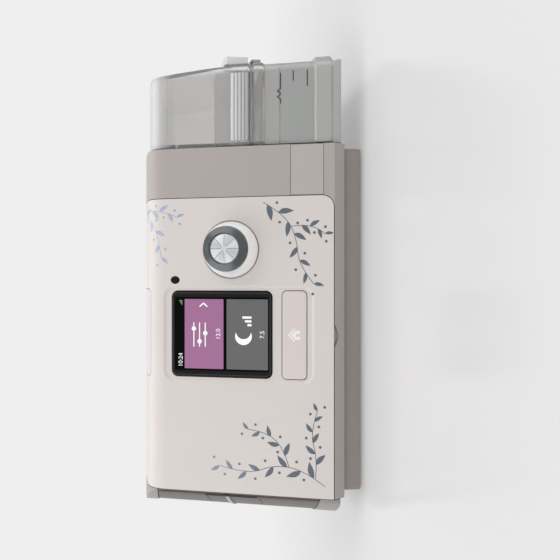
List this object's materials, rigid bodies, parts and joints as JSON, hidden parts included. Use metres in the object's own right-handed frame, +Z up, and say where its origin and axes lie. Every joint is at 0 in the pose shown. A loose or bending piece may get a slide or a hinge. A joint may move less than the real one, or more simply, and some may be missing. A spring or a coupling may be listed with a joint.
{
  "type": "bedside cpap machine",
  "caption": "Bedside CPAP machine with a tilted screen face, dial and buttons, and a clear humidifier tub that slides out of its right end.",
  "frame": {"origin": "on the surface it stands on, under the middle of the whole machine", "axes": "+X to the machine's right, the tub's end; +Y to its back, the air outlet's end; +Z up"},
  "size_m": [0.255, 0.15, 0.116],
  "materials": {
    "fascia": "warm white moulded plastic, satin",
    "band": "taupe moulded plastic",
    "badge": "blank inlay plate",
    "plinth": "grey moulded plastic",
    "cap": "light grey moulded plastic",
    "side": "dark grey moulded plastic",
    "lens": "gloss black window",
    "pearl": "pearl white gloss",
    "dark_chrome": "dark smoked chrome",
    "silver": "radially brushed metal foil",
    "clear": "clear smoky polycarbonate",
    "silicone": "translucent silicone",
    "rubber": "dark rubber",
    "aluminium": "pressed aluminium",
    "steel": "bright steel",
    "contact": "plated brass",
    "dark_plastic": "black moulded plastic",
    "impeller": "white moulded plastic",
    "card": "blue moulded plastic",
    "board": "green circuit board",
    "foam": "open-cell foam",
    "filter": "white filter fleece"
  },
  "bodies": {
    "machine": {"base_chassis": "plinth", "rubber_feet": "rubber", "chassis_screws": "steel", "main_housing": "band", "badge_plate": "badge", "front_fascia": "fascia", "rear_housing": "band", "left_end_frame": "cap", "left_side_cover": "side", "sd_socket": "dark_plastic", "display_lens": "lens", "display_module": "dark_plastic", "light_sensor_window": "lens", "front_board": "board", "home_switch": "dark_plastic", "start_switch": "dark_plastic", "top_board": "board", "encoder_body": "steel", "main_board": "board", "board_parts": "dark_plastic", "radio_module": "steel", "blower_base": "dark_plastic", "blower_cover": "dark_plastic", "blower_motor": "steel", "blower_mounts": "silicone", "sound_foam": "foam", "flow_sensor": "dark_plastic", "air_duct": "silicone", "filter_box": "side", "air_filter": "filter", "power_inlet": "dark_plastic", "inlet_contacts": "contact", "bay_liner": "side", "port_seals": "silicone", "heater_plate": "steel", "heater_insulator": "silicone"},
    "dial_press": {"encoder_plunger": "dark_plastic"},
    "dial": {"dial_skirt": "pearl", "dial_ring": "dark_chrome", "dial_cap": "silver", "dial_shaft": "dark_plastic"},
    "home_key": {"home_button": "fascia", "home_plunger": "dark_plastic"},
    "start_key": {"start_button": "fascia", "start_plunger": "dark_plastic"},
    "card_door": {"sd_door": "side"},
    "card": {"sd_card": "card"},
    "filter_door": {"filter_cover": "side"},
    "clip": {"retention_clip": "side"},
    "outlet": {"air_outlet": "side"},
    "fan": {"impeller": "impeller", "motor_shaft": "steel"},
    "tub": {"tub_base": "clear", "tub_lid": "clear", "tub_seal": "silicone", "tub_plate": "aluminium", "tub_ports": "clear"}
  },
  "joints": [
    {"name": "dial_push", "type": "slide", "parent": "machine", "child": "dial_press", "axis": [0, 0.9426, -0.3338], "range_m": [0, 0.0008], "stiffness_N_per_m": 3000, "springref_m": -0.0005},
    {"name": "dial_turn", "type": "hinge", "parent": "dial_press", "child": "dial", "pos_m": [0.0162, -0.05641, 0.0685], "axis": [0, -0.9426, 0.3338], "continuous": true},
    {"name": "home_push", "type": "slide", "parent": "machine", "child": "home_key", "axis": [0, 0.9426, -0.3338], "range_m": [0, 0.0006], "stiffness_N_per_m": 2500, "springref_m": -0.0005},
    {"name": "start_push", "type": "slide", "parent": "machine", "child": "start_key", "axis": [0, 0, -1], "range_m": [0, 0.0006], "stiffness_N_per_m": 2500, "springref_m": -0.0005},
    {"name": "card_door_swing", "type": "hinge", "parent": "machine", "child": "card_door", "pos_m": [-0.12509, -0.03289, 0.05997], "axis": [0, -0.3338, -0.9426], "range_deg": [0, 85]},
    {"name": "card_push", "type": "slide", "parent": "machine", "child": "card", "axis": [1, 0, 0], "range_m": [0, 0.001], "stiffness_N_per_m": 500, "springref_m": -0.0005},
    {"name": "filter_door_swing", "type": "hinge", "parent": "machine", "child": "filter_door", "pos_m": [-0.082, 0.0558, 0.0352], "axis": [-1, 0, 0], "range_deg": [0, 90]},
    {"name": "clip_swing", "type": "hinge", "parent": "machine", "child": "clip", "pos_m": [-0.036, 0.0581, 0.037], "axis": [-1, 0, 0], "range_deg": [0, 80]},
    {"name": "outlet_pull", "type": "slide", "parent": "machine", "child": "outlet", "axis": [0, 1, 0], "range_m": [0, 0.035]},
    {"name": "fan_spin", "type": "hinge", "parent": "machine", "child": "fan", "pos_m": [-0.076, 0.004, 0.084], "axis": [0, 0, 1], "continuous": true},
    {"name": "tub_pull", "type": "slide", "parent": "machine", "child": "tub", "axis": [1, 0, 0], "range_m": [0, 0.09]}
  ]
}
